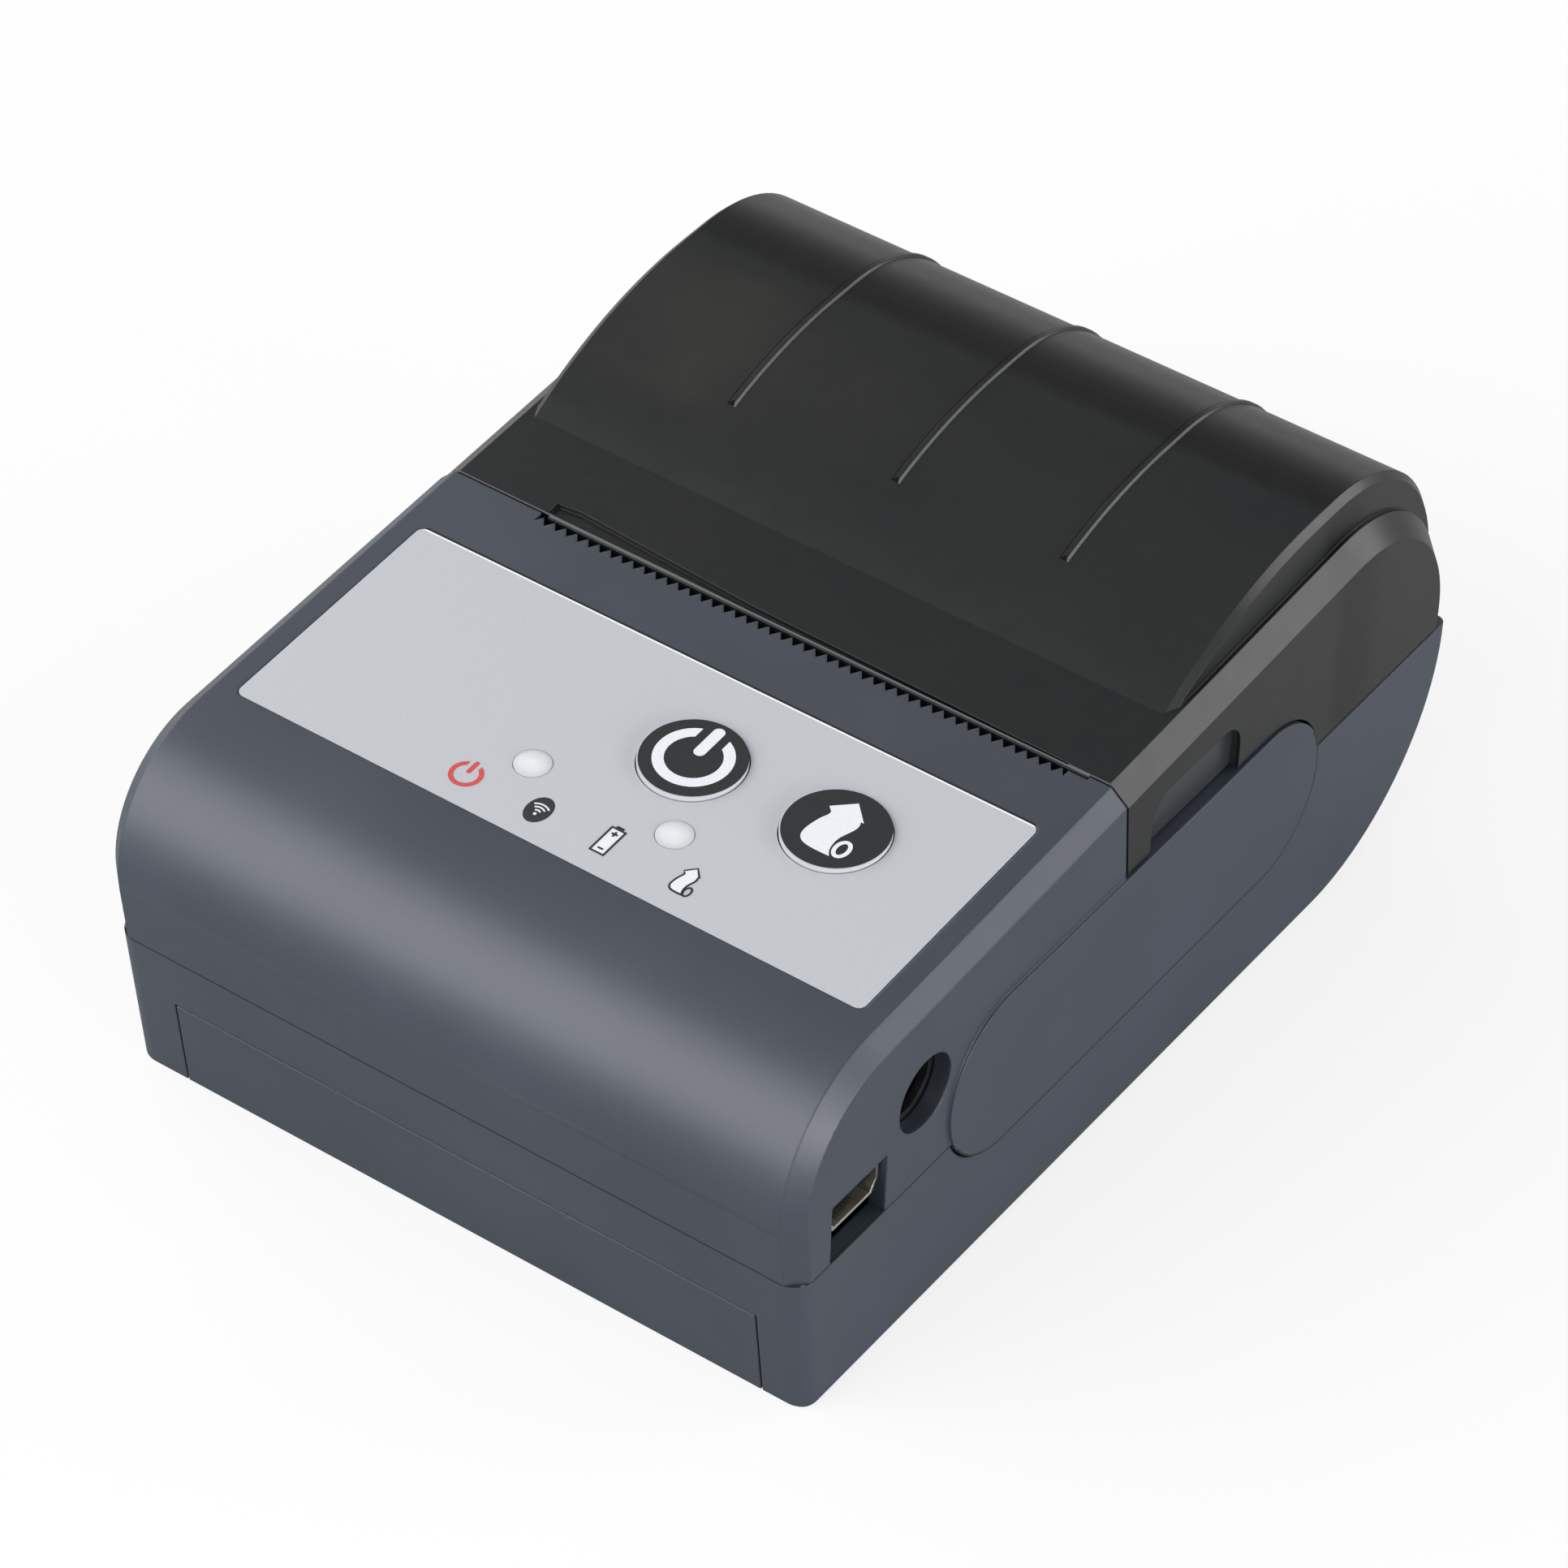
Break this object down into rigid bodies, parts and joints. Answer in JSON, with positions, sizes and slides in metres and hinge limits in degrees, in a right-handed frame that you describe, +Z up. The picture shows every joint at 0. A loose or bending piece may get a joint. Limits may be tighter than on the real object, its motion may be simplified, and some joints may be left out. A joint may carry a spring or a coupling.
{
  "type": "portable receipt printer",
  "caption": "Pocket thermal receipt printer with a rounded nose, a smoked domed paper cover that hinges open, a serrated tear edge, keys, sockets and a battery door.",
  "frame": {"origin": "middle of the base, on the surface it stands on, under the middle of its overall box", "axes": "+Z up, +Y towards the hinge at the rear, +X to the right, the side with the two sockets"},
  "size_m": [0.0766, 0.1066, 0.047],
  "materials": {
    "housing_plastic": "blue-grey ABS with a fine sandblasted texture",
    "cover_plastic": "smoked dark plastic, satin gloss",
    "holder_plastic": "black nylon",
    "roller_rubber": "ground silicone rubber",
    "bright_steel": "ground steel",
    "bush_plastic": "natural acetal",
    "gear_plastic": "natural acetal",
    "pinion_brass": "cut brass",
    "frame_steel": "zinc plated sheet",
    "head_ceramic": "glazed alumina",
    "sink_aluminium": "milled",
    "spring_wire": "drawn spring wire",
    "motor_steel": "zinc plated can",
    "tray_plastic": "dark ABS",
    "chip_epoxy": "moulded epoxy",
    "board_laminate": "green solder mask on glass laminate",
    "shield_metal": "tinned shield",
    "socket_steel": "nickel plated",
    "socket_plastic": "black moulded plastic",
    "light_plastic": "milky translucent plastic",
    "key_plastic": "black printed key with a white symbol",
    "label_film": "silver-grey printed polyester film",
    "ribbon_film": "amber polyimide film",
    "pack_wrap": "blue shrink wrap",
    "contact_gold": "gold plated",
    "screw_steel": "zinc plated"
  },
  "bodies": {
    "casing": {"lower_housing": "housing_plastic", "upper_housing": "housing_plastic", "hinge_pins": "bright_steel", "mechanism_frame": "frame_steel", "head_pivot_pin": "bright_steel", "head_springs": "spring_wire", "feed_motor": "motor_steel", "gear_post": "bright_steel", "paper_tray": "tray_plastic", "paper_sensor": "chip_epoxy", "main_board": "board_laminate", "board_chips": "chip_epoxy", "wireless_module": "shield_metal", "data_socket": "socket_steel", "data_tongue": "socket_plastic", "power_jack": "socket_plastic", "jack_pin": "socket_steel", "key_board": "board_laminate", "key_switches": "chip_epoxy", "key_lights": "light_plastic", "light_windows": "light_plastic", "label_panel": "label_film", "head_ribbon": "ribbon_film", "key_ribbon": "ribbon_film", "battery_pack": "pack_wrap", "battery_contacts": "contact_gold", "housing_screws": "screw_steel", "mechanism_screws": "screw_steel", "board_screws": "screw_steel", "key_board_screws": "screw_steel"},
    "cover": {"paper_cover": "cover_plastic", "platen_holder": "holder_plastic", "platen_bushes": "bush_plastic", "holder_screws": "screw_steel"},
    "platen": {"platen_roller": "roller_rubber", "platen_shaft": "bright_steel", "platen_gear": "gear_plastic"},
    "reduction": {"reduction_gear": "gear_plastic"},
    "pinion": {"motor_pinion": "pinion_brass", "motor_shaft": "bright_steel"},
    "head": {"print_head": "head_ceramic", "head_heatsink": "sink_aluminium"},
    "power_key": {"power_button": "key_plastic"},
    "feed_key": {"feed_button": "key_plastic"},
    "door": {"battery_door": "housing_plastic"}
  },
  "joints": [
    {"name": "cover_hinge", "type": "hinge", "parent": "casing", "child": "cover", "pos_m": [0, 0.0516, 0.0204], "axis": [-1, 0, 0], "range_deg": [0, 90]},
    {"name": "platen_spin", "type": "hinge", "parent": "cover", "child": "platen", "pos_m": [0, 0.0016, 0.0324], "axis": [1, 0, 0], "continuous": true},
    {"name": "reduction_spin", "type": "hinge", "parent": "casing", "child": "reduction", "pos_m": [0, -0.00038, 0.02414], "axis": [1, 0, 0], "continuous": true},
    {"name": "pinion_spin", "type": "hinge", "parent": "casing", "child": "pinion", "pos_m": [0, -0.00038, 0.01453], "axis": [1, 0, 0], "continuous": true},
    {"name": "head_pivot", "type": "hinge", "parent": "casing", "child": "head", "pos_m": [0, -0.0053, 0.0228], "axis": [1, 0, 0], "range_deg": [0, 3], "stiffness_Nm_per_rad": 0.4, "deforming": ["head_springs", "head_ribbon"]},
    {"name": "power_press", "type": "slide", "parent": "casing", "child": "power_key", "axis": [0, 0.0558, -0.9984], "range_m": [0, 0.0005], "stiffness_N_per_m": 2400},
    {"name": "feed_press", "type": "slide", "parent": "casing", "child": "feed_key", "axis": [0, 0.0558, -0.9984], "range_m": [0, 0.0005], "stiffness_N_per_m": 2400},
    {"name": "door_slide", "type": "slide", "parent": "casing", "child": "door", "axis": [0, -1, 0], "range_m": [0, 0.006]}
  ],
  "couplings": [
    {"joint": "reduction_spin", "follows": "platen_spin", "ratio": -1.125},
    {"joint": "pinion_spin", "follows": "platen_spin", "ratio": 3.375}
  ]
}
